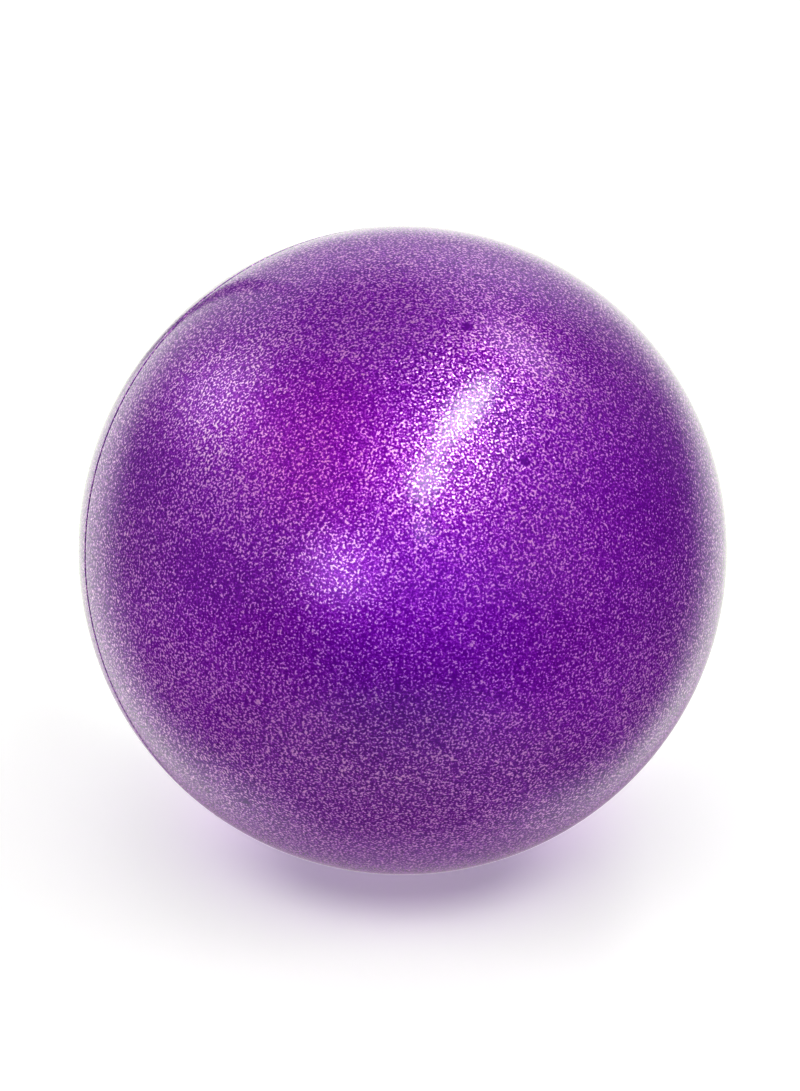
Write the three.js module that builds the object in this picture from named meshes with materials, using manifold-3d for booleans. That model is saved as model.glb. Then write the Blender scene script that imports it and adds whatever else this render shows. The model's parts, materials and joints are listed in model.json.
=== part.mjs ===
// A glitter pilates ball: two coloured half shells under two clear glitter half skins,
// joined by one welded seam, with a plug valve at the rear pole.
// Millimetres, +Z up. The origin is on the floor, under the middle of the ball.
import * as THREE from "three";
import { mergeVertices } from "three/addons/utils/BufferGeometryUtils.js";
import Module from "manifold-3d";

// Driving dimensions of the wall
const BALL_DIAMETER = 200;
const SKIN_WALL = 0.8;
const SHELL_WALL = 1.9;
const FIT_GAP = 0.3; // left between pieces that touch
const FLOOR_PATCH_RADIUS = 14; // the ball's own weight flattens it this far around its lowest point
const REAR_POLE_DROP = THREE.MathUtils.degToRad(18); // how far the valve points below the horizontal

// Driving dimensions of the seam
const WELD_WIDTH = 0.8;
const WELD_RECESS = 0.3; // the weld's outer edge lies this far below the surface
const WELD_BEAD_WIDTH = 6; // the bead runs round the inside, over the edges of both shells
const WELD_BEAD_HEIGHT = 1.2;

// Driving dimensions of the valve
const SEAT_LENGTH = 18; // from the ball's surface to the seat's inner end
const SEAT_NECK_DIAMETER = 15;
const SEAT_FLANGE_DIAMETER = 28;
const SEAT_FLANGE_WALL = 1.5;
const SEAT_SOCKET_WALL = 1.8;
const NAIL_NOTCH_RADIUS = 1.6; // lets a fingernail in under the plug's head
const PLUG_HEAD_DIAMETER = 9;
const PLUG_HEAD_HEIGHT = 1.5;
const PLUG_HEAD_RECESS = 0.2; // the head lies this far below the surface
const PLUG_EDGE_CHAMFER = 0.4;
const PLUG_STEM_DIAMETER = 5.4; // over the ribs
const PLUG_RIB_COUNT = 3;
const PLUG_RIB_WIDTH = 1.2;
const PLUG_RIB_DEPTH = 0.5;
const PLUG_TIP_LENGTH = 3; // the tapered tip stands out of the seat
const PLUG_TIP_DIAMETER = 3;

// Facets
const BALL_SIDES = 48;
const BALL_RINGS = 24;
const VALVE_SIDES = 24;
const MERGE_DISTANCE = 1e-4;

const ballRadius = BALL_DIAMETER / 2;
const shellRadius = ballRadius - SKIN_WALL - FIT_GAP;
const chamberRadius = shellRadius - SHELL_WALL;
const floorPatchDepth = ballRadius - Math.sqrt(ballRadius ** 2 - FLOOR_PATCH_RADIUS ** 2);
const seamHalfWidth = WELD_WIDTH / 2 + FIT_GAP;

// The mould frame has its origin in the middle of the ball and +Z out through the valve.
const mould = new THREE.Group();
mould.position.z = ballRadius - floorPatchDepth;
mould.rotation.x = -(Math.PI / 2 + REAR_POLE_DROP);

const wasm = await Module();
wasm.setup();

// A closed geometry as a solid that can be joined and cut.
function solidOf(geometry) {
  const bare = geometry.clone();
  bare.deleteAttribute("normal");
  bare.deleteAttribute("uv");
  const merged = mergeVertices(bare, MERGE_DISTANCE);
  return new wasm.Manifold(
    new wasm.Mesh({
      numProp: 3,
      vertProperties: new Float32Array(merged.attributes.position.array),
      triVerts: new Uint32Array(merged.index.array),
    }),
  );
}

function geometryOf(solid) {
  const { vertProperties, triVerts } = solid.getMesh();
  const geometry = new THREE.BufferGeometry();
  geometry.setAttribute("position", new THREE.BufferAttribute(vertProperties, 3));
  geometry.setIndex(new THREE.BufferAttribute(triVerts, 1));
  geometry.computeVertexNormals();
  return geometry;
}

function sphere(radius) {
  return solidOf(new THREE.SphereGeometry(radius, BALL_SIDES, BALL_RINGS).rotateX(Math.PI / 2));
}

// A round bar along the valve's axis, from one height to another.
function bar(diameter, from, to) {
  const length = to - from;
  const geometry = new THREE.CylinderGeometry(diameter / 2, diameter / 2, length, VALVE_SIDES);
  return solidOf(geometry.rotateX(Math.PI / 2).translate(0, 0, from + length / 2));
}

// A profile of [radius, height] points, running up its outer side, turned about the mould axis.
function turned(profile, sides) {
  const points = profile.map(([radius, height]) => new THREE.Vector2(radius, height));
  return solidOf(new THREE.LatheGeometry(points, sides).rotateX(Math.PI / 2));
}

// A sphere that stands on the floor: every layer is flattened by the same depth.
function flattenedSphere(radius) {
  const floor = new THREE.BoxGeometry(BALL_DIAMETER, BALL_DIAMETER, BALL_DIAMETER);
  floor.translate(0, 0, floorPatchDepth - radius - BALL_DIAMETER / 2);
  floor.applyQuaternion(mould.quaternion.clone().invert());
  return sphere(radius).subtract(solidOf(floor));
}

function hollowBall(outerRadius, wall) {
  return flattenedSphere(outerRadius).subtract(flattenedSphere(outerRadius - wall));
}

// The half of a hollow ball on one side of the seam: side is 1 at the rear, -1 at the front.
function halfOf(whole, side) {
  const half = new THREE.BoxGeometry(2 * BALL_DIAMETER, 2 * BALL_DIAMETER, BALL_DIAMETER);
  half.translate(0, 0, side * (seamHalfWidth + BALL_DIAMETER / 2));
  return whole.intersect(solidOf(half));
}

function valveHole() {
  return bar(SEAT_NECK_DIAMETER + 2 * FIT_GAP, 0, BALL_DIAMETER);
}

// A T-shaped ring: the web fills the joint, and the bead laps both shells on the inside.
function seamWeld() {
  const beadOuter = chamberRadius - FIT_GAP;
  const beadInner = beadOuter - WELD_BEAD_HEIGHT;
  const beadHalf = WELD_BEAD_WIDTH / 2;
  const webHalf = WELD_WIDTH / 2;
  const webOuter = ballRadius - WELD_RECESS;
  const beadEdge = Math.sqrt(beadOuter ** 2 - beadHalf ** 2);
  const upperHalf = [
    [webOuter, webHalf],
    [beadOuter, webHalf],
    [beadEdge, beadHalf],
    [beadInner, beadHalf],
  ];
  const lowerHalf = upperHalf.map(([radius, height]) => [radius, -height]).reverse();
  return turned([...lowerHalf, ...upperHalf, lowerHalf[0]], BALL_SIDES);
}

const headTop = ballRadius - PLUG_HEAD_RECESS;
const headUnderside = headTop - PLUG_HEAD_HEIGHT;
const headSeat = headUnderside - FIT_GAP;
const seatEnd = ballRadius - SEAT_LENGTH;

// The flange lies against the inside of the rear shell, and the neck comes out flush with the skin.
function valveSeat() {
  const boreDiameter = PLUG_STEM_DIAMETER + 2 * FIT_GAP;
  const recessDiameter = PLUG_HEAD_DIAMETER + 2 * FIT_GAP;
  const flangeRadius = chamberRadius - FIT_GAP;
  const flangeInner = flangeRadius - SEAT_FLANGE_WALL;
  const flangeDisc = bar(SEAT_FLANGE_DIAMETER, 0, BALL_DIAMETER);
  const flange = sphere(flangeRadius).subtract(sphere(flangeInner)).intersect(flangeDisc);
  const neck = bar(SEAT_NECK_DIAMETER, flangeInner, BALL_DIAMETER).intersect(sphere(ballRadius));
  const socket = bar(boreDiameter + 2 * SEAT_SOCKET_WALL, seatEnd, flangeRadius);
  const notch = new THREE.SphereGeometry(NAIL_NOTCH_RADIUS, VALVE_SIDES, VALVE_SIDES / 2);
  notch.translate(recessDiameter / 2, 0, headTop);
  return flange
    .add(neck)
    .add(socket)
    .subtract(bar(boreDiameter, 0, BALL_DIAMETER))
    .subtract(bar(recessDiameter, headSeat, BALL_DIAMETER))
    .subtract(solidOf(notch));
}

// A tapered tip, a ribbed stem and a flat head with a chamfered edge.
function valvePlug() {
  const ribRadius = PLUG_STEM_DIAMETER / 2;
  const coreRadius = ribRadius - PLUG_RIB_DEPTH;
  const headRadius = PLUG_HEAD_DIAMETER / 2;
  const profile = [
    [0, seatEnd - PLUG_TIP_LENGTH],
    [PLUG_TIP_DIAMETER / 2, seatEnd - PLUG_TIP_LENGTH],
  ];
  const ribPitch = (headUnderside - seatEnd) / PLUG_RIB_COUNT;
  for (let rib = 0; rib < PLUG_RIB_COUNT; rib++) {
    const ribStart = seatEnd + rib * ribPitch;
    profile.push([ribRadius, ribStart], [ribRadius, ribStart + PLUG_RIB_WIDTH]);
    profile.push([coreRadius, ribStart + PLUG_RIB_WIDTH + PLUG_RIB_DEPTH]);
    profile.push([coreRadius, ribStart + ribPitch - PLUG_RIB_DEPTH * (rib < PLUG_RIB_COUNT - 1)]);
  }
  profile.push(
    [headRadius, headUnderside],
    [headRadius, headTop - PLUG_EDGE_CHAMFER],
    [headRadius - PLUG_EDGE_CHAMFER, headTop],
    [0, headTop],
  );
  return turned(profile, VALVE_SIDES);
}

const violetWall = { color: 0x4a0a86, roughness: 0.45, metalness: 0 };
const glitterSkin = { color: 0x6a1aa8, roughness: 0.12, metalness: 0.1 };
const weldGrey = { color: 0x5c4a66, roughness: 0.5, metalness: 0 };
const valveViolet = { color: 0x4f128a, roughness: 0.5, metalness: 0 };
const plugWhite = { color: 0xe9e6ea, roughness: 0.4, metalness: 0 };

function addPiece(name, solid, finish) {
  const mesh = new THREE.Mesh(geometryOf(solid), new THREE.MeshStandardMaterial(finish));
  mesh.name = name;
  mould.add(mesh);
}

const shell = hollowBall(shellRadius, SHELL_WALL);
const skin = hollowBall(ballRadius, SKIN_WALL);
addPiece("front_shell", halfOf(shell, -1), violetWall);
addPiece("rear_shell", halfOf(shell, 1).subtract(valveHole()), violetWall);
addPiece("front_glitter_skin", halfOf(skin, -1), glitterSkin);
addPiece("rear_glitter_skin", halfOf(skin, 1).subtract(valveHole()), glitterSkin);
addPiece("seam_weld", seamWeld(), weldGrey);
addPiece("valve_seat", valveSeat(), valveViolet);
addPiece("valve_plug", valvePlug(), plugWhite);

const pilatesBall = new THREE.Group();
pilatesBall.add(mould);

export default pilatesBall;
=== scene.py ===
import json
import math

import bmesh
import bpy
from mathutils import Matrix, Vector

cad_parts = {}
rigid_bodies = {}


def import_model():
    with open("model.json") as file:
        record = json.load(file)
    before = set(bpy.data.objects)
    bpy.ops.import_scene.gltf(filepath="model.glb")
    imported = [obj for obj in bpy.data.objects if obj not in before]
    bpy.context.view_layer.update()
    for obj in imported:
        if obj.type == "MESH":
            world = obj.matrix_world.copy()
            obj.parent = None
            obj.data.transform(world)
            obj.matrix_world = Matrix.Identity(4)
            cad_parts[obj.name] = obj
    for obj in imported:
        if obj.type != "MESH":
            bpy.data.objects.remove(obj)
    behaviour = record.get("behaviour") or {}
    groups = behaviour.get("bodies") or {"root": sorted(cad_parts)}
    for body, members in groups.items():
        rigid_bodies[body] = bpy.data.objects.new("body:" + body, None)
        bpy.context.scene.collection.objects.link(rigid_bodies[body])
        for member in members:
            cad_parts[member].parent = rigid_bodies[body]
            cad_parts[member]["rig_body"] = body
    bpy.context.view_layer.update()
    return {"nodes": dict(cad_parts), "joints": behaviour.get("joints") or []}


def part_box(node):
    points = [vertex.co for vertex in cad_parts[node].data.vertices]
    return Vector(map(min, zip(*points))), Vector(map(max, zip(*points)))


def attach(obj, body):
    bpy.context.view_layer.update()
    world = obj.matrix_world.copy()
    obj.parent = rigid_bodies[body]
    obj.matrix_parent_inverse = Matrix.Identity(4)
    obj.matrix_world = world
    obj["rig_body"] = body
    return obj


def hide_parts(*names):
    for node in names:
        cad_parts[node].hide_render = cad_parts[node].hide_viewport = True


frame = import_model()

bl_info = {
    "name": "Glitter Pilates Ball",
    "version": (1, 0, 0),
    "blender": (4, 5, 0),
    "location": "3D View > Sidebar > Pilates Ball",
    "description": "Fine shapes, finishes and stage of a glitter pilates ball, built around its CAD frame",
    "category": "Add Mesh",
}

MM = 0.001
VALVE_JOINT = "plug_pull"
SENSOR_LONG_SIDE = 36.0
CAMERA_REACH = 50.0
WHITE = (1.0, 1.0, 1.0, 1.0)

# Places of the mix node's sockets, which share their names
MIX_COLOURS = (6, 7)
MIX_COLOUR_RESULT = 2
MIX_VALUES = (2, 3)

# Shapes
ROUNDING_STEPS = 6
ROUNDING_SHARE = 0.49  # the largest part of a side that one rounding may take
RING_RADIUS = 1.0  # of the ring that a profile is swept along
MERGE_DISTANCE = 1e-6
NOTCH_SIDES = 48
SHARP_ANGLE = math.radians(40)
WELD_ROUNDINGS = (0.25 * MM, 0.2 * MM, 0.4 * MM, 0.5 * MM)  # from the web's outer edge inwards
TIP_ROUNDING = 0.5 * MM
RIB_ROUNDING = 0.3 * MM
UNDERSIDE_ROUNDING = 0.2 * MM
DISH_ROUNDING = 0.4 * MM

# Glitter
GRAIN_RANGE = (0.28, 0.72)  # noise from which flakes show, and at which they lie at the surface
SILVER_FULL = 0.9  # grain value at which flakes are as metallic as they get
TONE_STOPS = (0.0, 0.35, 0.58, 0.78, 0.94)  # from the bare ground to a flake at the surface
RAMP_MIDDLE = 0.5  # where a new stop starts
NOISE_MIDDLE = 0.5
FLAKE_DETAIL = 1.0
LEAN_SHIFT = (1.0, 2.0, 3.0)  # keeps the flakes' lean apart from their grain

# Plain finishes: roughness, grains in a metre
WALL_FINISH = (0.45, 1500.0)
WELD_FINISH = (0.5, 900.0)
VALVE_FINISH = (0.42, 1200.0)
PLUG_FINISH = (0.35, 800.0)
GRAIN_DETAIL = 3.0
GRAIN_SHADE = 0.82  # the darkest grain, as a share of the full colour
ROUGHNESS_SPREAD = 0.15
GRAIN_BUMP = 0.15
GRAIN_DEPTH = 0.1 * MM

# Floor glow, in metres from the origin and to the right of it; it grows away from the ball and to its
# right, painted light that fades the ball's shadow there
PAINTED_LIGHT_OUTWARD = (0.05, 0.12)
PAINTED_LIGHT_RIGHTWARD = (0.055, 0.08)
PAINTED_LIGHT_GAIN = 0.08
GLOW_COLOUR = (0.95, 1.0, 0.93)

# The mirrored room, by direction along the camera's axes: start and end of a change, and its values there.
LEFT_SIDE = (-0.3, -0.7, 0.0, 0.12)
LEFT_SIDE_TOP = (0.4, 0.1)
TOP_SIDE = (0.35, 0.75, 0.0, 0.27)
LOW_SIDE = (-0.45, -0.85, 0.0, 0.2)
UPPER_PART = (0.1, 0.3)
RIGHT_CORNER = (0.2, 0.5, 0.0, 0.09)
RIGHT_DARK = (0.75, 0.97, 1.0, 0.2)
BAND_TOP = (-0.2, -0.4)
BAND_BOTTOM = (-0.85, -0.65)
BAND_DARK = (0.0, 1.0, 1.0, 0.1)
FOOT_LIGHT = (-0.7, -0.95, 1.0, 1.8)
FAR_RANGE = (-0.48, -0.9)
CEILING_DARK = (0.3, 0.6, 1.0, 0.52)
SHADE_WIDTH = (0.5, 0.15)
SHADE_DEPTH = (-0.3, -0.6, 0.0, 0.6)
SHADE_TOP = (0.0, -0.2)
EDGE_COURSE = (0.15, 0.75, 0.25, 0.358)
EDGE_WIDTH = (0.3, 0.85, 0.06, 0.022)
EDGE_SOFTNESS = (1.0, 0.4)
EDGE_RISE = (0.1, 0.25, 0.0, 0.95)

# The soft lights: where they start and end towards the camera's side, and at which heights.
BOX_SIDE = (-0.05, 0.15)
BOX_BOTTOM = (0.58, 0.7)
BOX_TOP = (0.93, 0.82)
WALL_SIDE = (0.05, -0.15)
WALL_TOP = (0.72, 0.56)


def box_middle(node):
    low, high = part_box(node)
    return (low + high) / 2


def farthest_from(point, node):
    return max((vertex.co - point).length for vertex in frame["nodes"][node].data.vertices)


def mould_matrix(centre, axis):
    """Where the mould frame lies: origin in the ball's middle, +Z out through the valve, X as the row's."""
    across = Vector((1, 0, 0))
    columns = Matrix((across, axis.cross(across), axis)).transposed()
    return Matrix.Translation(centre) @ columns.to_4x4()


# The frame gives the ball's middle, its size and the way the valve points.
BALL_CENTRE = box_middle("seam_weld")
BALL_RADIUS = farthest_from(BALL_CENTRE, "front_glitter_skin")
VALVE_AXIS = Vector(next(j["axis"] for j in frame["joints"] if j["name"] == VALVE_JOINT)).normalized()
MOULD = mould_matrix(BALL_CENTRE, VALVE_AXIS)


def length_property(name, description, millimetres):
    return bpy.props.FloatProperty(
        name=name,
        description=description,
        default=millimetres * MM,
        min=0.0,
        precision=5,
        subtype="DISTANCE",
        unit="LENGTH",
    )


def colour_property(name, description, colour):
    return bpy.props.FloatVectorProperty(
        name=name, description=description, default=colour, min=0.0, max=1.0, size=3, subtype="COLOR"
    )


def share_property(name, description, share):
    return bpy.props.FloatProperty(
        name=name, description=description, default=share, min=0.0, max=1.0, subtype="FACTOR"
    )


def angle_property(name, description, degrees):
    return bpy.props.FloatProperty(
        name=name, description=description, default=math.radians(degrees), subtype="ANGLE", unit="ROTATION"
    )


def count_property(name, description, count):
    return bpy.props.IntProperty(name=name, description=description, default=count, min=3)


def pixel_property(name, description, pixels):
    return bpy.props.FloatProperty(name=name, description=description, default=pixels, subtype="PIXEL")


def level_property(name, description, level):
    return bpy.props.FloatProperty(name=name, description=description, default=level)


class PILATESBALL_PG_sizes(bpy.types.PropertyGroup):
    """Sizes of the pieces, in metres"""

    skin_wall: length_property("Skin wall", "Thickness of the clear glitter skin", 0.8)
    seam_gap: length_property("Seam gap", "Width of the groove between the two half skins", 1.4)
    edge_round: length_property("Edge rounding", "Rounding of the skins' outer edges", 0.3)
    inner_round: length_property("Inner rounding", "Rounding of the skins' inner edges", 0.15)
    patch_softness: length_property("Patch softness", "How softly the floor patch meets the ball", 0.35)
    skin_sides: count_property("Skin sides", "Facets round the ball", 192)
    skin_rings: count_property("Skin rings", "Rings from a pole to the seam", 72)
    weld_width: length_property("Weld width", "Width of the weld line", 0.8)
    weld_recess: length_property("Weld recess", "Depth of the weld line below the surface", 0.3)
    bead_width: length_property("Bead width", "Width of the bead inside the seam", 6.0)
    bead_height: length_property("Bead height", "Height of the bead inside the seam", 1.2)
    shell_wall: length_property("Shell wall", "Thickness of the coloured inner shell", 1.9)
    fit_gap: length_property("Fit gap", "Gap between pieces that touch", 0.3)
    valve_sides: count_property("Valve sides", "Facets round the valve", 96)
    seat_length: length_property("Seat length", "From the ball's surface to the seat's inner end", 18.0)
    neck_diameter: length_property("Neck diameter", "Valve neck that fills the hole in the wall", 15.0)
    flange_diameter: length_property("Flange diameter", "Valve flange inside the wall", 28.0)
    flange_wall: length_property("Flange wall", "Thickness of the valve flange", 1.5)
    socket_wall: length_property("Socket wall", "Thickness of the tube round the plug", 1.8)
    notch_radius: length_property("Notch radius", "Fingernail notch beside the plug", 1.6)
    head_diameter: length_property("Plug head", "Diameter of the plug's head", 9.0)
    head_height: length_property("Head height", "Height of the plug's head", 1.5)
    head_recess: length_property("Head recess", "Depth of the head below the surface", 0.2)
    head_round: length_property("Head rounding", "Rounding of the head's upper edge", 0.45)
    dish_diameter: length_property("Dish diameter", "Shallow dish in the plug's head", 4.4)
    dish_depth: length_property("Dish depth", "Depth of the dish in the plug's head", 0.25)
    stem_diameter: length_property("Stem diameter", "Plug stem over its ribs", 5.4)
    rib_count: count_property("Ribs", "Ribs on the plug's stem", 3)
    rib_width: length_property("Rib width", "Width of each rib", 1.2)
    rib_depth: length_property("Rib depth", "Depth of the grooves between the ribs", 0.5)
    tip_length: length_property("Tip length", "Tapered tip of the plug", 3.0)
    tip_diameter: length_property("Tip diameter", "Small end of the plug's tip", 3.0)


class PILATESBALL_PG_finishes(bpy.types.PropertyGroup):
    """Colours and finishes"""

    ground: colour_property("Ground violet", "Darkest vinyl between the flakes", (0.1, 0.0003, 0.235))
    ground_light: colour_property("Light ground", "Vinyl over deep flakes", (0.168, 0.0015, 0.35))
    flake_deep: colour_property("Deep flake", "Flake deep in the skin", (0.26, 0.02, 0.47))
    flake_middle: colour_property("Middle flake", "Flake halfway down", (0.52, 0.075, 0.76))
    flake_top: colour_property("Top flake", "Bright flake at the surface", (1.0, 0.52, 1.0))
    flake_size: length_property("Flake size", "Width of one glitter flake and its gap", 0.7)
    flake_tilt: share_property("Flake tilt", "How far the flakes lie out of the surface", 0.42)
    silver_start: share_property("Silver start", "Grain value from which flakes turn metallic", 0.5)
    silver_metal: share_property("Silver metal", "Metallic share of a flake at the surface", 0.66)
    ground_metal: share_property("Ground metal", "Metallic share of the vinyl and the deep flakes", 0.35)
    ground_roughness: share_property("Ground roughness", "Roughness under the clear coat", 0.65)
    silver_roughness: share_property("Silver roughness", "Roughness of a silver flake", 0.28)
    coat_ripple: share_property("Coat ripple", "How far the flakes lift the clear surface", 0.07)
    coat_roughness: share_property("Coat roughness", "Roughness of the clear surface", 0.04)
    coat_ior: bpy.props.FloatProperty(
        name="Coat IOR", description="Refraction of the clear surface", default=1.45, min=1.0, max=2.0
    )
    through: colour_property("Through light", "Light that has come through the vinyl", (0.55, 0.0, 1.0))
    wall: colour_property("Inner wall", "Coloured vinyl of the inner shells", (0.07, 0.006, 0.16))
    weld: colour_property("Weld line", "Dull grey violet of the weld", (0.11, 0.075, 0.13))
    valve: colour_property("Valve seat", "Soft violet vinyl of the seat", (0.09, 0.008, 0.22))
    plug: colour_property("Plug", "White plastic of the plug", (0.8, 0.78, 0.81))


class PILATESBALL_PG_stage(bpy.types.PropertyGroup):
    """Camera, floor and light"""

    picture_width: pixel_property("Picture width", "Width of the picture", 800.0)
    picture_height: pixel_property("Picture height", "Height of the picture", 1091.0)
    ball_pixels: pixel_property("Ball in picture", "Radius of the ball in the picture", 324.5)
    ball_pixel_x: pixel_property("Ball across", "Middle of the ball from the left", 402.7)
    ball_pixel_y: pixel_property("Ball down", "Middle of the ball from the top", 550.3)
    camera_distance: length_property("Camera distance", "From the ball's middle", 1500.0)
    camera_elevation: angle_property("Camera elevation", "Above the floor", 22.3)
    camera_azimuth: angle_property("Camera azimuth", "Round the ball from its front", -16.3)
    floor: colour_property("Floor", "Pale floor", (0.93, 0.93, 0.925))
    floor_size: length_property("Floor size", "Width and depth of the floor", 12000.0)
    floor_front: length_property("Floor front", "How far the floor comes towards the camera", 300.0)
    floor_glow: share_property("Floor glow", "How much brighter the camera sees the floor", 0.22)
    front_box: level_property("Front box", "Soft light from high up on the camera's side", 3.5)
    box_colour: colour_property("Box colour", "Colour of the front box", (1.0, 0.985, 0.965))
    mirrored: colour_property("Mirrored room", "Colour of the mirrored room", (0.94, 1.0, 0.85))
    shade: colour_property("Mirrored shade", "Colour of the ball's shadow in that room", (0.8, 0.4, 0.9))
    back_wall: level_property("Back wall", "Soft light from low down behind the ball", 1.9)
    through_light: level_property("Through light", "Light that comes through the ball", 0.11)
    through_radius: length_property("Through radius", "Reach of that light on the floor", 85.0)
    spot_source: length_property("Spot source", "Radius of the front spots' lamps", 8.0)
    far_panel: level_property("Far panel", "Brightness behind the ball, in reflections", 1.25)
    near_dark: level_property("Near side", "Brightness on the camera's side, in reflections", 0.12)


# Soft spots shine from the camera's place and aren't mirrored.
# name, middle x and y in the picture, radius in the picture, strength, colour
SPOTS = (
    ("left_spot", (312, 515), 235, 0.52, (0.92, 0.75, 1.04)),
    ("right_spot", (526, 532), 235, 0.6, (0.9, 0.5, 1.05)),
    ("blue_spot", (420, 645), 150, 0.22, (0.05, 0.05, 1.0)),
    ("left_glow_spot", (214, 392), 94, 2.5, (0.38, 1.0, 0.26)),
    ("left_glow_core", (212, 396), 46, 1.4, (0.46, 1.0, 0.44)),
    ("low_glow_spot", (338, 571), 56, 1.9, (0.36, 1.0, 0.26)),
    ("low_glow_core", (340, 568), 36, 1.6, (0.46, 1.0, 0.46)),
    ("strip_spot", (444, 462), 76, 2.0, (0.3, 1.0, 0.12)),
    ("upper_spot", (506, 348), 66, 1.0, (0.7, 1.0, 0.5)),
    ("pink_spot", (325, 444), 105, 0.5, (1.0, 0.1, 0.3)),
    ("bottom_spot", (400, 822), 120, 0.22, (1.0, 0.85, 0.95)),
    ("bottom_left_spot", (250, 752), 120, 0.3, (0.9, 0.45, 1.0)),
    ("bottom_right_spot", (545, 758), 120, 0.34, (0.9, 0.45, 1.0)),
    ("left_low_spot", (150, 655), 110, 0.46, (0.9, 1.0, 0.85)),
    ("right_low_spot", (640, 705), 85, 0.28, (0.95, 0.85, 1.0)),
)

# Painted light and shade in the glitter: patches where the flakes are painted brighter, at the highlights
# and on lit parts, or darker, where the ball lies in shade; the smallest are real bare dark specks.
# name: middle x and y in the picture, radius in the picture, change of the grain
PAINTED_LIGHT_AND_SPECKS = {
    "belt_left": ((245, 588), 105, -0.035),
    "belt_middle_left": ((330, 622), 95, -0.04),
    "belt_middle": ((440, 640), 110, -0.035),
    "belt_right": ((530, 650), 100, -0.042),
    "belt_right_end": ((612, 610), 75, -0.022),
    "right_side": ((655, 490), 150, -0.068),
    "left_side": ((146, 475), 85, -0.042),
    "middle_left": ((315, 480), 85, -0.025),
    "above_middle": ((365, 405), 75, -0.042),
    "above_left": ((288, 395), 75, -0.04),
    "left_glow": ((216, 388), 80, 0.01),
    "low_glow": ((338, 570), 60, 0.016),
    "strip": ((455, 440), 75, 0.02),
    "below_middle": ((390, 690), 100, -0.03),
    "left_of_belt": ((195, 580), 70, -0.038),
    "above_low_glow": ((325, 520), 60, -0.02),
    "bottom": ((390, 800), 220, 0.022),
    "bottom_left": ((245, 735), 130, 0.015),
    "bottom_right": ((640, 700), 110, 0.022),
    "right_of_strip": ((575, 430), 110, 0.014),
    "under_left_glow": ((258, 515), 85, 0.016),
    "upper_left": ((288, 332), 60, 0.025),
    "upper_right": ((562, 378), 60, 0.02),
    "top": ((400, 290), 170, 0.022),
    "strip_top": ((505, 345), 90, 0.025),
    "left_band": ((215, 460), 110, 0.018),
    "left_low": ((165, 680), 120, 0.02),
    "top_speck": ((467, 326), 8, -0.3),
    "right_speck": ((524, 460), 7, -0.3),
    "low_speck": ((246, 802), 7, -0.3),
}

# Lamps hang at one distance from the ball, where it mirrors them at these places of the picture.
# Each is built up of steps of falling size, which give it a soft edge.
LAMP_DISTANCE = 1.2
LAMP_STEPS = (1.0, 0.8, 0.6, 0.35)
# name, one end x and y, other end x and y, width in the picture, radiance, colour
LAMPS = (
    ("strip_core", (498, 374), (430, 456), 36, 15.0, (1.0, 0.99, 1.0)),
    ("strip_tail", (440, 448), (414, 508), 38, 9.0, (1.0, 0.98, 1.0)),
    ("strip_end", (424, 512), (422, 548), 24, 2.4, (1.0, 0.98, 1.0)),
    ("strip_halo", (520, 370), (420, 500), 110, 0.7, (1.0, 0.98, 1.0)),
    ("left_glow", (250, 340), (204, 428), 74, 0.75, (1.0, 0.95, 1.0)),
    ("low_glow", (304, 548), (368, 600), 54, 0.9, (1.0, 0.97, 1.0)),
    ("top_glow", (400, 272), (560, 318), 80, 0.4, (1.0, 0.95, 1.0)),
    ("corner_veil", (222, 338), (312, 300), 54, 0.26, (1.0, 0.95, 1.0)),
    ("upper_veil", (480, 318), (556, 384), 40, 1.6, (1.0, 0.95, 1.0)),
)


def sizes():
    return bpy.context.scene.pilates_ball_sizes


def finishes():
    return bpy.context.scene.pilates_ball_finishes


def stage_values():
    return bpy.context.scene.pilates_ball_stage


def new_object(name, data):
    made = bpy.data.objects.new(name, data)
    bpy.context.scene.collection.objects.link(made)
    return made


def empty_tree(owner):
    owner.use_nodes = True
    owner.node_tree.nodes.clear()
    return owner.node_tree


# Node helpers: a value that is a socket is linked, and any other is set.


def feed(tree, socket, value):
    if isinstance(value, bpy.types.NodeSocket):
        tree.links.new(value, socket)
    else:
        socket.default_value = value


def add_node(tree, kind, settings=None, **values):
    node = tree.nodes.new(kind)
    for name, setting in (settings or {}).items():
        setattr(node, name, setting)
    for name, value in values.items():
        feed(tree, node.inputs[name.replace("_", " ")], value)
    return node


def calculate(tree, kind, operation, *values):
    node = tree.nodes.new(kind)
    node.operation = operation
    for socket, value in zip(node.inputs, values):
        feed(tree, socket, value)
    return node


def shade_math(tree, operation, *values):
    return calculate(tree, "ShaderNodeMath", operation, *values).outputs[0]


def shade_vector(tree, operation, *values):
    return calculate(tree, "ShaderNodeVectorMath", operation, *values)


def product(tree, value, *factors):
    for factor in factors:
        value = shade_math(tree, "MULTIPLY", value, factor)
    return value


def along_axis(tree, vector, axis):
    return shade_vector(tree, "DOT_PRODUCT", vector, axis).outputs["Value"]


def mix_colour(tree, share, first, second):
    node = tree.nodes.new("ShaderNodeMix")
    node.data_type = "RGBA"
    feed(tree, node.inputs[0], share)
    for place, colour in zip(MIX_COLOURS, (first, second)):
        feed(tree, node.inputs[place], colour)
    return node.outputs[MIX_COLOUR_RESULT]


def mix_value(tree, share, first, second):
    node = tree.nodes.new("ShaderNodeMix")
    feed(tree, node.inputs[0], share)
    for place, value in zip(MIX_VALUES, (first, second)):
        feed(tree, node.inputs[place], value)
    return node.outputs[0]


def smooth_range(tree, value, low, high, first=0.0, last=1.0):
    node = tree.nodes.new("ShaderNodeMapRange")
    node.interpolation_type = "SMOOTHSTEP"
    for socket, given in zip(node.inputs, (value, low, high, first, last)):
        feed(tree, socket, given)
    return node.outputs[0]


def opaque(colour):
    return (*colour, 1.0)


# Shapes: profiles are lists of (radius, height) points about the mould axis.


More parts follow.
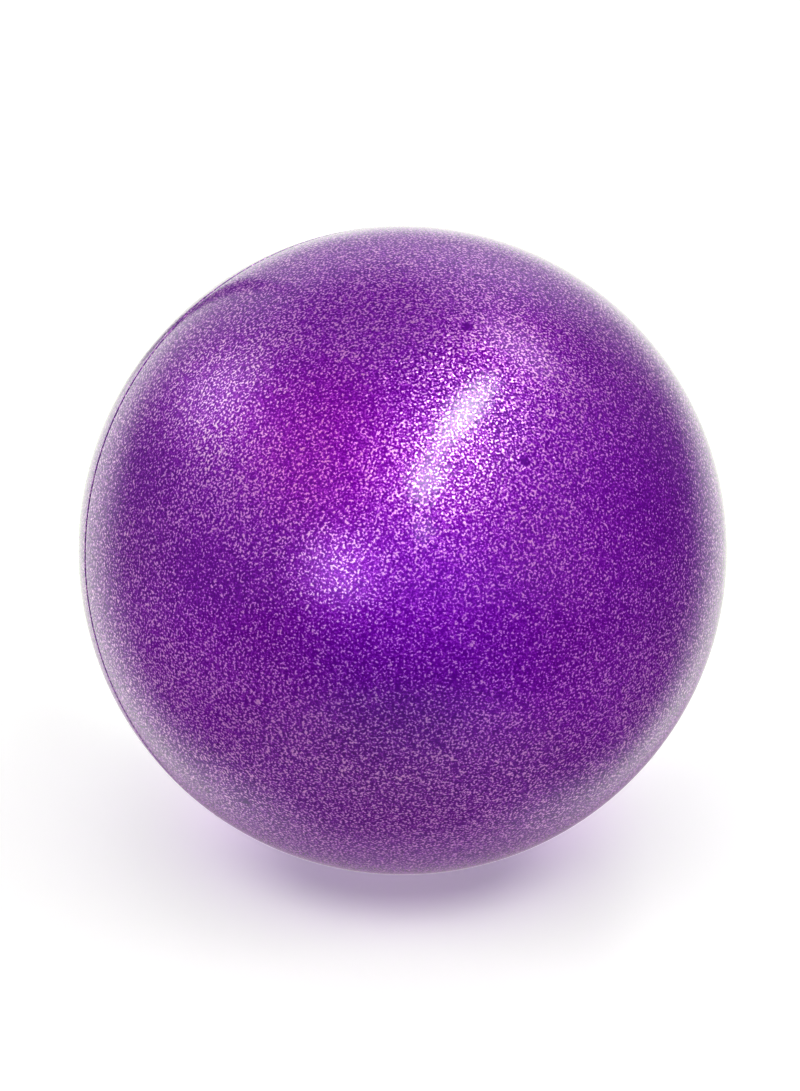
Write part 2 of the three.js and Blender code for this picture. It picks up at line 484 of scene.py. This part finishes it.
def arc(radius, first_angle, last_angle, steps, side):
    """Points on a sphere from one angle off the pole to another; side is 1 at the rear, -1 at the front."""
    points = []
    for step in range(steps + 1):
        angle = first_angle + (last_angle - first_angle) * step / steps
        points.append((radius * math.sin(angle), side * radius * math.cos(angle)))
    return points


def round_corners(points, roundings):
    """Replaces each point that has a rounding by a short curve that starts and ends that far from it."""
    result = []
    for index, point in enumerate(points):
        rounding = roundings.get(index, 0.0)
        if not rounding:
            result.append(point)
            continue
        corner = Vector(point)
        before = Vector(points[index - 1]) - corner
        after = Vector(points[(index + 1) % len(points)]) - corner
        reach = min(rounding, before.length * ROUNDING_SHARE, after.length * ROUNDING_SHARE)
        start = corner + before.normalized() * reach
        end = corner + after.normalized() * reach
        for step in range(ROUNDING_STEPS + 1):
            share = step / ROUNDING_STEPS
            curved = start * (1 - share) ** 2 + corner * 2 * share * (1 - share) + end * share**2
            result.append((curved.x, curved.y))
    return result


def chamber_radius():
    """Radius of the air space inside the shells."""
    size = sizes()
    return BALL_RADIUS - size.skin_wall - size.fit_gap - size.shell_wall


def turned_tree(flattened):
    """Geometry nodes that turn a profile about the mould axis and put it in place."""
    tree = bpy.data.node_groups.new("Turned profile", "GeometryNodeTree")
    kinds = (
        ("Profile", "NodeSocketGeometry"),
        ("Sides", "NodeSocketInt"),
        ("Ring Radius", "NodeSocketFloat"),
        ("Turn", "NodeSocketRotation"),
        ("Centre", "NodeSocketVector"),
        ("Ball Radius", "NodeSocketFloat"),
        ("Patch Softness", "NodeSocketFloat"),
        ("Material", "NodeSocketMaterial"),
    )
    for name, kind in kinds:
        tree.interface.new_socket(name, in_out="INPUT", socket_type=kind)
    tree.interface.new_socket("Piece", in_out="OUTPUT", socket_type="NodeSocketGeometry")
    given = tree.nodes.new("NodeGroupInput").outputs
    profile = add_node(tree, "GeometryNodeMeshToCurve", Mesh=given["Profile"])
    inward = shade_math(tree, "MULTIPLY", given["Ring Radius"], -1.0)
    offset = add_node(tree, "ShaderNodeCombineXYZ", X=inward)
    moved = add_node(
        tree, "GeometryNodeSetPosition", Geometry=profile.outputs[0], Offset=offset.outputs[0]
    )
    ring = add_node(
        tree, "GeometryNodeCurvePrimitiveCircle", Resolution=given["Sides"], Radius=given["Ring Radius"]
    )
    swept = add_node(
        tree, "GeometryNodeCurveToMesh", Curve=ring.outputs[0], Profile_Curve=moved.outputs[0]
    )
    merged = add_node(
        tree, "GeometryNodeMergeByDistance", Geometry=swept.outputs[0], Distance=MERGE_DISTANCE
    )
    placed = add_node(
        tree,
        "GeometryNodeTransform",
        Geometry=merged.outputs[0],
        Translation=given["Centre"],
        Rotation=given["Turn"],
    )
    shape = placed.outputs[0]
    if flattened:
        position = tree.nodes.new("GeometryNodeInputPosition").outputs[0]
        from_centre = shade_vector(tree, "DISTANCE", position, given["Centre"]).outputs["Value"]
        level = shade_math(tree, "SUBTRACT", given["Ball Radius"], from_centre)
        parts = add_node(tree, "ShaderNodeSeparateXYZ", Vector=position).outputs
        lifted = shade_math(tree, "SMOOTH_MAX", parts["Z"], level, given["Patch Softness"])
        target = add_node(tree, "ShaderNodeCombineXYZ", X=parts["X"], Y=parts["Y"], Z=lifted)
        shape = add_node(
            tree, "GeometryNodeSetPosition", Geometry=shape, Position=target.outputs[0]
        ).outputs[0]
    smooth = add_node(tree, "GeometryNodeSetShadeSmooth", Geometry=shape)
    real = add_node(tree, "GeometryNodeRealizeInstances", Geometry=smooth.outputs[0])
    dressed = add_node(
        tree, "GeometryNodeSetMaterial", Geometry=real.outputs[0], Material=given["Material"]
    )
    result = tree.nodes.new("NodeGroupOutput")
    tree.links.new(dressed.outputs[0], result.inputs[0])
    return tree


def turned_mesh(name, profile, closed, sides, material, flattened=False):
    """A closed mesh turned from a profile by the node tree, in the row frame, with faces pointing out."""
    line = bpy.data.meshes.new(name + "_profile")
    edges = [(index, index + 1) for index in range(len(profile) - 1)]
    if closed:
        edges.append((len(profile) - 1, 0))
    # The ring's own frame points down, so heights are turned over.
    line.from_pydata([(radius, -height, 0.0) for radius, height in profile], edges, [])
    piece = new_object(name, line)
    modifier = piece.modifiers.new("Turned", "NODES")
    tree = turned_tree(flattened)
    modifier.node_group = tree
    values = {
        "Sides": sides,
        "Ring Radius": RING_RADIUS,
        "Turn": MOULD.to_euler(),
        "Centre": BALL_CENTRE,
        "Ball Radius": BALL_RADIUS,
        "Patch Softness": sizes().patch_softness,
        "Material": material,
    }
    for socket in tree.interface.items_tree:
        if socket.in_out == "INPUT" and socket.name in values:
            modifier[socket.identifier] = values[socket.name]
    evaluated = piece.evaluated_get(bpy.context.evaluated_depsgraph_get())
    mesh = bpy.data.meshes.new_from_object(evaluated)
    bpy.data.objects.remove(piece)
    bpy.data.meshes.remove(line)
    bpy.data.node_groups.remove(tree)
    turn_outward(mesh)
    mesh.name = name
    return mesh


def turn_outward(mesh):
    shape = bmesh.new()
    shape.from_mesh(mesh)
    bmesh.ops.recalc_face_normals(shape, faces=shape.faces)
    shape.to_mesh(mesh)
    shape.free()


def add_piece(name, mesh, node):
    """Links the mesh as the piece that stands for a CAD node, on that node's body."""
    piece = new_object(name, mesh)
    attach(piece, frame["nodes"][node]["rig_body"])
    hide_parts(node)
    return piece


# Finishes


def new_material(name):
    material = bpy.data.materials.new(name)
    tree = empty_tree(material)
    shader = tree.nodes.new("ShaderNodeBsdfPrincipled")
    output = tree.nodes.new("ShaderNodeOutputMaterial")
    tree.links.new(shader.outputs[0], output.inputs[0])
    place = tree.nodes.new("ShaderNodeTexCoord").outputs["Object"]
    return material, tree, shader, place


def grain_with_painted_light(tree, place, grain):
    """The grain with painted light and shade: patches where the flakes are painted brighter or darker, and
    a few bare specks.
    """
    scale = stage_values().camera_distance / focal_pixels()
    for pixel, radius, change in PAINTED_LIGHT_AND_SPECKS.values():
        middle = spot_on_ball(pixel)[0]
        apart = shade_vector(tree, "DISTANCE", place, middle).outputs["Value"]
        patch = smooth_range(tree, apart, 0.0, radius * scale, change, 0.0)
        grain = shade_math(tree, "ADD", grain, patch)
    return grain


def glitter_material():
    look = finishes()
    material, tree, shader, place = new_material("clear_glitter_vinyl")
    fineness = 1.0 / look.flake_size
    grain = add_node(tree, "ShaderNodeTexNoise", Vector=place, Scale=fineness, Detail=FLAKE_DETAIL)
    # The flake grain carries painted light and shade: brighter flakes where light falls, darker where shade
    # falls.
    chance = smooth_range(tree, grain_with_painted_light(tree, place, grain.outputs[0]), *GRAIN_RANGE)
    shifted = shade_vector(tree, "ADD", place, LEAN_SHIFT).outputs[0]
    leans = add_node(tree, "ShaderNodeTexNoise", Vector=shifted, Scale=fineness, Detail=FLAKE_DETAIL)
    silver = smooth_range(tree, chance, look.silver_start, SILVER_FULL)
    tones = tree.nodes.new("ShaderNodeValToRGB")
    feed(tree, tones.inputs[0], chance)
    colours = (look.ground, look.ground_light, look.flake_deep, look.flake_middle, look.flake_top)
    ramp = tones.color_ramp.elements
    while len(ramp) < len(TONE_STOPS):
        ramp.new(RAMP_MIDDLE)
    for element, position, colour in zip(ramp, TONE_STOPS, colours):
        element.position = position
        element.color = opaque(colour)
    feed(tree, shader.inputs["Base Color"], tones.outputs[0])
    metal = mix_value(tree, silver, look.ground_metal, look.silver_metal)
    feed(tree, shader.inputs["Metallic"], metal)
    rough = mix_value(tree, silver, look.ground_roughness, look.silver_roughness)
    feed(tree, shader.inputs["Roughness"], rough)
    surface = tree.nodes.new("ShaderNodeNewGeometry").outputs["Normal"]
    around = shade_vector(tree, "SUBTRACT", leans.outputs["Color"], [NOISE_MIDDLE] * 3).outputs[0]
    for socket, tilt in (("Normal", look.flake_tilt), ("Coat Normal", look.coat_ripple)):
        lean = shade_vector(tree, "SCALE", around)
        lean.inputs["Scale"].default_value = tilt / NOISE_MIDDLE
        leaning = shade_vector(tree, "ADD", surface, lean.outputs[0]).outputs[0]
        feed(tree, shader.inputs[socket], shade_vector(tree, "NORMALIZE", leaning).outputs[0])
    shader.inputs["Specular IOR Level"].default_value = 0.0
    shader.inputs["Coat Weight"].default_value = 1.0
    shader.inputs["Coat Roughness"].default_value = look.coat_roughness
    shader.inputs["Coat IOR"].default_value = look.coat_ior
    return material


def vinyl_material(name, colour, roughness, grains):
    """A plain soft plastic with a fine grain."""
    material, tree, shader, place = new_material(name)
    noise = add_node(tree, "ShaderNodeTexNoise", Vector=place, Scale=grains, Detail=GRAIN_DETAIL).outputs[0]
    darker = [channel * GRAIN_SHADE for channel in colour]
    feed(tree, shader.inputs["Base Color"], mix_colour(tree, noise, opaque(darker), opaque(colour)))
    smoothest = roughness * (1 - ROUGHNESS_SPREAD)
    roughest = roughness * (1 + ROUGHNESS_SPREAD)
    feed(tree, shader.inputs["Roughness"], mix_value(tree, noise, smoothest, roughest))
    bump = add_node(tree, "ShaderNodeBump", Strength=GRAIN_BUMP, Distance=GRAIN_DEPTH, Height=noise)
    feed(tree, shader.inputs["Normal"], bump.outputs[0])
    return material


class PILATESBALL_OT_skins(bpy.types.Operator):
    """Make the two clear half skins with their glitter"""

    bl_idname = "pilates_ball.skins"
    bl_label = "Glitter Skins"

    def execute(self, context):
        size = sizes()
        material = glitter_material()
        inner_radius = BALL_RADIUS - size.skin_wall
        half_gap = size.seam_gap / 2
        outer_seam = math.acos(half_gap / BALL_RADIUS)
        inner_seam = math.acos(half_gap / inner_radius)
        inner_rings = size.skin_rings // 2
        hole_radius = size.neck_diameter / 2 + size.fit_gap
        outer_hole = math.asin(hole_radius / BALL_RADIUS)
        inner_hole = math.asin(hole_radius / inner_radius)

        inside = arc(inner_radius, 0.0, inner_seam, inner_rings, -1)
        outside = arc(BALL_RADIUS, outer_seam, 0.0, size.skin_rings, -1)
        roundings = {inner_rings: size.inner_round, inner_rings + 1: size.edge_round}
        front = round_corners(inside + outside, roundings)
        mesh = turned_mesh("glitter_skin_front", front, False, size.skin_sides, material, True)
        add_piece("glitter_skin_front", mesh, "front_glitter_skin")

        inside = arc(inner_radius, inner_hole, inner_seam, inner_rings, 1)
        outside = arc(BALL_RADIUS, outer_seam, outer_hole, size.skin_rings, 1)
        roundings[0] = size.inner_round
        roundings[inner_rings + 1 + size.skin_rings] = size.edge_round
        rear = round_corners(inside + outside, roundings)
        mesh = turned_mesh("glitter_skin_rear", rear, True, size.skin_sides, material, True)
        add_piece("glitter_skin_rear", mesh, "rear_glitter_skin")
        return {"FINISHED"}


class PILATESBALL_OT_shells(bpy.types.Operator):
    """Give the two inner half shells their vinyl"""

    bl_idname = "pilates_ball.shells"
    bl_label = "Inner Shells"

    def execute(self, context):
        material = vinyl_material("violet_wall_vinyl", finishes().wall, *WALL_FINISH)
        for node in ("front_shell", "rear_shell"):
            mesh = frame["nodes"][node].data
            mesh.materials.clear()
            mesh.materials.append(material)
        return {"FINISHED"}


class PILATESBALL_OT_seam(bpy.types.Operator):
    """Make the weld that runs round the seam"""

    bl_idname = "pilates_ball.seam"
    bl_label = "Seam Weld"

    def execute(self, context):
        size = sizes()
        material = vinyl_material("weld_vinyl", finishes().weld, *WELD_FINISH)
        web_half = size.weld_width / 2
        bead_half = size.bead_width / 2
        web_outer = BALL_RADIUS - size.weld_recess
        bead_outer = chamber_radius() - size.fit_gap
        bead_inner = bead_outer - size.bead_height
        bead_edge = math.sqrt(bead_outer**2 - bead_half**2)
        upper = [
            (web_outer, web_half),
            (bead_outer, web_half),
            (bead_edge, bead_half),
            (bead_inner, bead_half),
        ]
        lower = [(radius, -height) for radius, height in reversed(upper)]
        roundings = dict(enumerate(WELD_ROUNDINGS + WELD_ROUNDINGS[::-1]))
        profile = round_corners(upper + lower, roundings)
        mesh = turned_mesh("seam_line", profile, True, size.skin_sides, material)
        add_piece("seam_line", mesh, "seam_weld")
        return {"FINISHED"}


class PILATESBALL_OT_valve_seat(bpy.types.Operator):
    """Make the valve seat with its fingernail notch"""

    bl_idname = "pilates_ball.valve_seat"
    bl_label = "Valve Seat"

    def execute(self, context):
        size = sizes()
        material = vinyl_material("valve_vinyl", finishes().valve, *VALVE_FINISH)
        bore = size.stem_diameter / 2 + size.fit_gap
        recess = size.head_diameter / 2 + size.fit_gap
        tube = bore + size.socket_wall
        neck = size.neck_diameter / 2
        flange = size.flange_diameter / 2
        flange_outer = chamber_radius() - size.fit_gap
        flange_inner = flange_outer - size.flange_wall
        seat_end = BALL_RADIUS - size.seat_length
        head_top = BALL_RADIUS - size.head_recess
        head_seat = head_top - size.head_height - size.fit_gap

        def sphere_line(radius, first, last, steps):
            return arc(radius, math.asin(first / radius), math.asin(last / radius), steps, 1)

        # points of a line, rounding of its first point and of its last point in millimetres
        lines = (
            ([(bore, seat_end), (tube, seat_end)], 0.3, 0.5),
            (sphere_line(flange_inner, tube, flange, steps=8), 1.0, 0.7),
            (sphere_line(flange_outer, flange, neck, steps=6), 0.5, 0.2),
            (sphere_line(BALL_RADIUS, neck, recess, steps=4), 0.4, 0.35),
            ([(recess, head_seat), (bore, head_seat)], 0.3, 0.3),
        )
        profile = []
        roundings = {}
        for points, first_rounding, last_rounding in lines:
            roundings[len(profile)] = first_rounding * MM
            profile += points
            roundings[len(profile) - 1] = last_rounding * MM
        profile = round_corners(profile, roundings)
        mesh = turned_mesh("valve_seat_fine", profile, True, size.valve_sides, material)
        notch_place = MOULD @ Vector((recess, 0.0, head_top))
        mesh = cut_ball(mesh, notch_place, size.notch_radius)
        add_piece("valve_seat_fine", mesh, "valve_seat")
        return {"FINISHED"}


def cut_ball(mesh, place, radius):
    """Cuts a ball-shaped hollow out of a closed mesh."""
    cutter_mesh = bpy.data.meshes.new("notch_cutter")
    shape = bmesh.new()
    bmesh.ops.create_uvsphere(
        shape,
        u_segments=NOTCH_SIDES,
        v_segments=NOTCH_SIDES // 2,
        radius=radius,
        matrix=Matrix.Translation(place),
    )
    shape.to_mesh(cutter_mesh)
    shape.free()
    cutter = new_object("notch_cutter", cutter_mesh)
    blank = new_object("notch_blank", mesh)
    modifier = blank.modifiers.new("Notch", "BOOLEAN")
    modifier.object = cutter
    modifier.solver = "EXACT"
    bpy.context.view_layer.update()
    evaluated = blank.evaluated_get(bpy.context.evaluated_depsgraph_get())
    result = bpy.data.meshes.new_from_object(evaluated)
    for item in (cutter, blank):
        bpy.data.objects.remove(item)
    result.set_sharp_from_angle(angle=SHARP_ANGLE)
    return result


class PILATESBALL_OT_valve_plug(bpy.types.Operator):
    """Make the plug with its dished head and ribbed stem"""

    bl_idname = "pilates_ball.valve_plug"
    bl_label = "Valve Plug"

    def execute(self, context):
        size = sizes()
        material = vinyl_material("plug_plastic", finishes().plug, *PLUG_FINISH)
        rib = size.stem_diameter / 2
        core = rib - size.rib_depth
        head = size.head_diameter / 2
        dish = size.dish_diameter / 2
        head_top = BALL_RADIUS - size.head_recess
        underside = head_top - size.head_height
        seat_end = BALL_RADIUS - size.seat_length
        tip_end = seat_end - size.tip_length
        profile = [(0.0, tip_end), (size.tip_diameter / 2, tip_end)]
        roundings = {1: TIP_ROUNDING}
        pitch = (underside - seat_end) / size.rib_count
        for index in range(size.rib_count):
            start = seat_end + index * pitch
            groove_end = start + pitch
            if index < size.rib_count - 1:
                groove_end -= size.rib_depth
            corners = (
                (rib, start),
                (rib, start + size.rib_width),
                (core, start + size.rib_width + size.rib_depth),
                (core, groove_end),
            )
            for corner in corners:
                roundings[len(profile)] = RIB_ROUNDING
                profile.append(corner)
        corners = (
            (head, underside, UNDERSIDE_ROUNDING),
            (head, head_top, size.head_round),
            (dish, head_top, DISH_ROUNDING),
            (dish - size.dish_depth, head_top - size.dish_depth, DISH_ROUNDING),
        )
        for radius, height, rounding in corners:
            roundings[len(profile)] = rounding
            profile.append((radius, height))
        profile.append((0.0, head_top - size.dish_depth))
        profile = round_corners(profile, roundings)
        mesh = turned_mesh("valve_plug_fine", profile, False, size.valve_sides, material)
        add_piece("valve_plug_fine", mesh, "valve_plug")
        return {"FINISHED"}


# Stage


def camera_axes():
    """The camera's right, up and backward directions in the row frame."""
    view = stage_values()
    level = math.cos(view.camera_elevation)
    back = Vector(
        (
            math.sin(view.camera_azimuth) * level,
            -math.cos(view.camera_azimuth) * level,
            math.sin(view.camera_elevation),
        )
    )
    right = Vector((0, 0, 1)).cross(back).normalized()
    return right, back.cross(right), back


def focal_pixels():
    view = stage_values()
    edge = BALL_RADIUS / math.sqrt(view.camera_distance**2 - BALL_RADIUS**2)
    return view.ball_pixels / edge


def spot_on_ball(pixel):
    """The point of the ball at a place of the picture, and the way it mirrors the line of sight."""
    view = stage_values()
    right, up, back = camera_axes()
    focal = focal_pixels()
    across = (pixel[0] - view.ball_pixel_x) / focal
    down = (pixel[1] - view.ball_pixel_y) / focal
    ray = (right * across - up * down - back).normalized()
    eye = back * view.camera_distance
    along = -ray.dot(eye)
    inside = max(BALL_RADIUS**2 - (eye + ray * along).length_squared, 0.0)
    spot = eye + ray * (along - math.sqrt(inside))
    normal = spot.normalized()
    return BALL_CENTRE + spot, ray.reflect(normal)


def add_camera():
    view = stage_values()
    right, up, back = camera_axes()
    camera = bpy.data.cameras.new("camera")
    camera.sensor_width = SENSOR_LONG_SIDE
    camera.lens = SENSOR_LONG_SIDE * focal_pixels() / view.picture_height
    camera.clip_end = CAMERA_REACH
    scale = view.camera_distance / focal_pixels()
    aim_right = (view.picture_width / 2 - view.ball_pixel_x) * scale
    aim_up = (view.ball_pixel_y - view.picture_height / 2) * scale
    place = BALL_CENTRE + back * view.camera_distance + right * aim_right + up * aim_up
    axes = Matrix((right, up, back)).transposed().to_4x4()
    camera_object = new_object("camera", camera)
    camera_object.matrix_world = Matrix.Translation(place) @ axes
    bpy.context.scene.camera = camera_object


def add_lamp(name, first, last, width, radiance, colour):
    """A soft-edged lamp whose mirror image on the ball runs from one place of the picture to another."""
    middle = (Vector(first) + Vector(last)) / 2
    lengthwise = (Vector(last) - Vector(first)) / 2
    sideways = Vector((-lengthwise.y, lengthwise.x)).normalized() * width / 2
    for number, share in enumerate(LAMP_STEPS):
        corners = []
        for offset in (-lengthwise, lengthwise, -sideways, sideways):
            spot, mirrored = spot_on_ball(middle + offset * share)
            corners.append(spot + mirrored * LAMP_DISTANCE)
        start, end, one_side, other_side = corners
        centre = (start + end) / 2
        out = (centre - BALL_CENTRE).normalized()
        length_axis = end - start
        along = (length_axis - out * length_axis.dot(out)).normalized()
        lamp = bpy.data.lights.new(f"{name}_{number}", "AREA")
        lamp.shape = "ELLIPSE"
        lamp.size = length_axis.length
        lamp.size_y = (other_side - one_side).length
        lamp.color = colour
        area = math.pi / 4 * lamp.size * lamp.size_y
        lamp.energy = radiance / len(LAMP_STEPS) * math.pi * area
        lamp_object = new_object(lamp.name, lamp)
        axes = Matrix((along, out.cross(along), out)).transposed().to_4x4()
        lamp_object.matrix_world = Matrix.Translation(centre) @ axes
        lamp_object.visible_camera = False
        lamp_object.visible_diffuse = False


def add_diffuse_light(name, kind, energy, towards):
    """A light that shines from a direction and isn't mirrored."""
    light = bpy.data.lights.new(name, kind)
    light.energy = energy
    light_object = new_object(name, light)
    light_object.rotation_euler = towards.to_track_quat("Z", "Y").to_euler()
    light_object.visible_glossy = False
    return light_object


def spot_energy(strength):
    """Power that lets a spot at the camera's distance light like an even sky of that strength."""
    return strength * 4 * math.pi**2 * stage_values().camera_distance ** 2


def add_spot(name, pixel, radius, strength, colour):
    """A soft spot from the camera's place, which brightens one part of the ball."""
    view = stage_values()
    right, up, back = camera_axes()
    scale = view.camera_distance / focal_pixels()
    aim = right * (pixel[0] - view.ball_pixel_x) * scale
    aim += up * (view.ball_pixel_y - pixel[1]) * scale
    place = back * view.camera_distance
    spot = add_diffuse_light(name, "SPOT", spot_energy(strength), place - aim)
    spot.location = BALL_CENTRE + place
    spot.data.color = colour
    spot.data.spot_size = 2 * math.atan(radius / focal_pixels())
    spot.data.spot_blend = 1.0
    spot.data.shadow_soft_size = view.spot_source


def add_through_light():
    """The violet light that comes through the ball and tints its shadow."""
    view = stage_values()
    energy = spot_energy(view.through_light)
    spot = add_diffuse_light("through_light", "SPOT", energy, Vector((0, 0, 1)))
    spot.location = (0, 0, view.camera_distance)
    spot.data.color = finishes().through
    spot.data.spot_size = 2 * math.atan(view.through_radius / view.camera_distance)
    spot.data.spot_blend = 1.0
    spot.data.use_shadow = False


def add_floor():
    view = stage_values()
    half = view.floor_size / 2
    mesh = bpy.data.meshes.new("floor")
    right, _, back = camera_axes()
    near = Vector((back.x, back.y, 0.0)).normalized() * view.floor_front
    far = near.normalized() * -view.floor_size
    corners = [near - right * half, near + right * half, far + right * half, far - right * half]
    mesh.from_pydata(corners, [], [(0, 1, 2, 3)])
    material = bpy.data.materials.new("pale_floor")
    tree = empty_tree(material)
    paint = add_node(tree, "ShaderNodeBsdfDiffuse", Color=opaque(view.floor))
    camera_ray = tree.nodes.new("ShaderNodeLightPath").outputs["Is Camera Ray"]
    place = tree.nodes.new("ShaderNodeTexCoord").outputs["Object"]
    around = shade_vector(tree, "LENGTH", place).outputs["Value"]
    least = view.floor_glow
    # The glow is brighter away from the ball and to its right: painted light that narrows the ball's shadow
    # there.
    outward = smooth_range(tree, around, *PAINTED_LIGHT_OUTWARD, least, least + PAINTED_LIGHT_GAIN)
    rightward = smooth_range(tree, along_axis(tree, place, right), *PAINTED_LIGHT_RIGHTWARD, 0.0, PAINTED_LIGHT_GAIN)
    strength = product(tree, camera_ray, shade_math(tree, "ADD", outward, rightward))
    glow = add_node(tree, "ShaderNodeEmission", Color=opaque(GLOW_COLOUR), Strength=strength)
    both = tree.nodes.new("ShaderNodeAddShader")
    feed(tree, both.inputs[0], paint.outputs[0])
    feed(tree, both.inputs[1], glow.outputs[0])
    output = tree.nodes.new("ShaderNodeOutputMaterial")
    tree.links.new(both.outputs[0], output.inputs[0])
    mesh.materials.append(material)
    floor = new_object("floor", mesh)
    floor.visible_glossy = False


def mirrored_room(tree, way):
    """Brightness of the room that the ball mirrors, and the share of the ball's shadow in it."""
    view = stage_values()
    right, up, back = camera_axes()
    across = along_axis(tree, way, right)
    above = along_axis(tree, way, up)
    sides = (
        product(tree, smooth_range(tree, across, *LEFT_SIDE), smooth_range(tree, above, *LEFT_SIDE_TOP)),
        smooth_range(tree, above, *TOP_SIDE),
        smooth_range(tree, above, *LOW_SIDE),
    )
    depth = along_axis(tree, way, back)
    for side in sides:
        depth = shade_math(tree, "SUBTRACT", depth, side)
    upper = smooth_range(tree, above, *UPPER_PART)
    corner = product(tree, upper, smooth_range(tree, across, *RIGHT_CORNER))
    depth = shade_math(tree, "ADD", depth, corner)
    band = product(tree, smooth_range(tree, above, *BAND_TOP), smooth_range(tree, above, *BAND_BOTTOM))
    near = product(
        tree,
        smooth_range(tree, across, *RIGHT_DARK),
        smooth_range(tree, band, *BAND_DARK),
        smooth_range(tree, above, *FOOT_LIGHT),
        view.near_dark,
    )
    shade = product(
        tree,
        smooth_range(tree, shade_math(tree, "ABSOLUTE", across), *SHADE_WIDTH),
        smooth_range(tree, depth, *SHADE_DEPTH),
        smooth_range(tree, above, *SHADE_TOP),
    )
    apart = shade_math(tree, "ADD", across, smooth_range(tree, above, *EDGE_COURSE))
    apart = shade_math(tree, "ABSOLUTE", apart)
    apart = shade_math(tree, "DIVIDE", apart, smooth_range(tree, above, *EDGE_WIDTH))
    edge = product(tree, smooth_range(tree, apart, *EDGE_SOFTNESS), smooth_range(tree, above, *EDGE_RISE))
    room = product(
        tree,
        smooth_range(tree, depth, *FAR_RANGE, near, view.far_panel),
        smooth_range(tree, above, *CEILING_DARK),
        shade_math(tree, "SUBTRACT", 1.0, shade),
        shade_math(tree, "SUBTRACT", 1.0, edge),
    )
    return room, shade


def soft_lights(tree, way):
    """Brightness of the front box and of the back wall, which light the ball and the floor."""
    view = stage_values()
    back = camera_axes()[2]
    level_back = Vector((back.x, back.y, 0.0)).normalized()
    nearness = along_axis(tree, way, level_back)
    height = add_node(tree, "ShaderNodeSeparateXYZ", Vector=way).outputs["Z"]
    box = product(
        tree,
        smooth_range(tree, nearness, *BOX_SIDE, 0.0, view.front_box),
        smooth_range(tree, height, *BOX_BOTTOM),
        smooth_range(tree, height, *BOX_TOP),
    )
    wall = product(
        tree,
        smooth_range(tree, nearness, *WALL_SIDE, 0.0, view.back_wall),
        smooth_range(tree, height, *WALL_TOP),
    )
    return box, wall


def add_world():
    """A world that looks white, lights with two soft lights and shows the ball another room to mirror."""
    view = stage_values()
    world = bpy.data.worlds.new("studio")
    bpy.context.scene.world = world
    tree = empty_tree(world)
    way = tree.nodes.new("ShaderNodeTexCoord").outputs["Generated"]
    room, shade = mirrored_room(tree, way)
    box, wall = soft_lights(tree, way)
    rays = tree.nodes.new("ShaderNodeLightPath").outputs
    seen = mix_value(tree, rays["Is Glossy Ray"], shade_math(tree, "ADD", box, wall), room)
    seen = mix_value(tree, rays["Is Camera Ray"], seen, 1.0)
    box_share = smooth_range(tree, shade_math(tree, "DIVIDE", box, view.front_box), 0.0, 1.0)
    light_colour = mix_colour(tree, box_share, WHITE, opaque(view.box_colour))
    room_colour = mix_colour(tree, shade, opaque(view.mirrored), opaque(view.shade))
    tint = mix_colour(tree, rays["Is Glossy Ray"], light_colour, room_colour)
    tint = mix_colour(tree, rays["Is Camera Ray"], tint, WHITE)
    background = add_node(tree, "ShaderNodeBackground", Color=tint, Strength=seen)
    output = tree.nodes.new("ShaderNodeOutputWorld")
    tree.links.new(background.outputs[0], output.inputs[0])


class PILATESBALL_OT_stage(bpy.types.Operator):
    """Set up the camera, the floor and the light"""

    bl_idname = "pilates_ball.stage"
    bl_label = "Stage"

    def execute(self, context):
        context.scene.view_settings.view_transform = "Standard"
        add_camera()
        add_floor()
        add_world()
        for spot in SPOTS:
            add_spot(*spot)
        add_through_light()
        for lamp in LAMPS:
            add_lamp(*lamp)
        return {"FINISHED"}


class PILATESBALL_PT_sidebar(bpy.types.Panel):
    """Lists the ball's pieces and its values"""

    bl_idname = "PILATESBALL_PT_sidebar"
    bl_label = "Pilates Ball"
    bl_space_type = "VIEW_3D"
    bl_region_type = "UI"
    bl_category = "Pilates Ball"

    def draw(self, context):
        for operator in OPERATORS:
            self.layout.operator(operator.bl_idname)
        for group in (sizes(), finishes(), stage_values()):
            column = self.layout.column(align=True)
            for name in group.__annotations__:
                column.prop(group, name)


OPERATORS = (
    PILATESBALL_OT_skins,
    PILATESBALL_OT_shells,
    PILATESBALL_OT_seam,
    PILATESBALL_OT_valve_seat,
    PILATESBALL_OT_valve_plug,
    PILATESBALL_OT_stage,
)
GROUPS = {
    "pilates_ball_sizes": PILATESBALL_PG_sizes,
    "pilates_ball_finishes": PILATESBALL_PG_finishes,
    "pilates_ball_stage": PILATESBALL_PG_stage,
}


def register():
    for item in (*GROUPS.values(), *OPERATORS, PILATESBALL_PT_sidebar):
        bpy.utils.register_class(item)
    for name, group in GROUPS.items():
        setattr(bpy.types.Scene, name, bpy.props.PointerProperty(type=group))


def unregister():
    for name in GROUPS:
        delattr(bpy.types.Scene, name)
    for item in reversed((*GROUPS.values(), *OPERATORS, PILATESBALL_PT_sidebar)):
        bpy.utils.unregister_class(item)


def main():
    register()
    bpy.ops.pilates_ball.skins()
    bpy.ops.pilates_ball.shells()
    bpy.ops.pilates_ball.seam()
    bpy.ops.pilates_ball.valve_seat()
    bpy.ops.pilates_ball.valve_plug()
    bpy.ops.pilates_ball.stage()


if __name__ == "__main__":
    main()
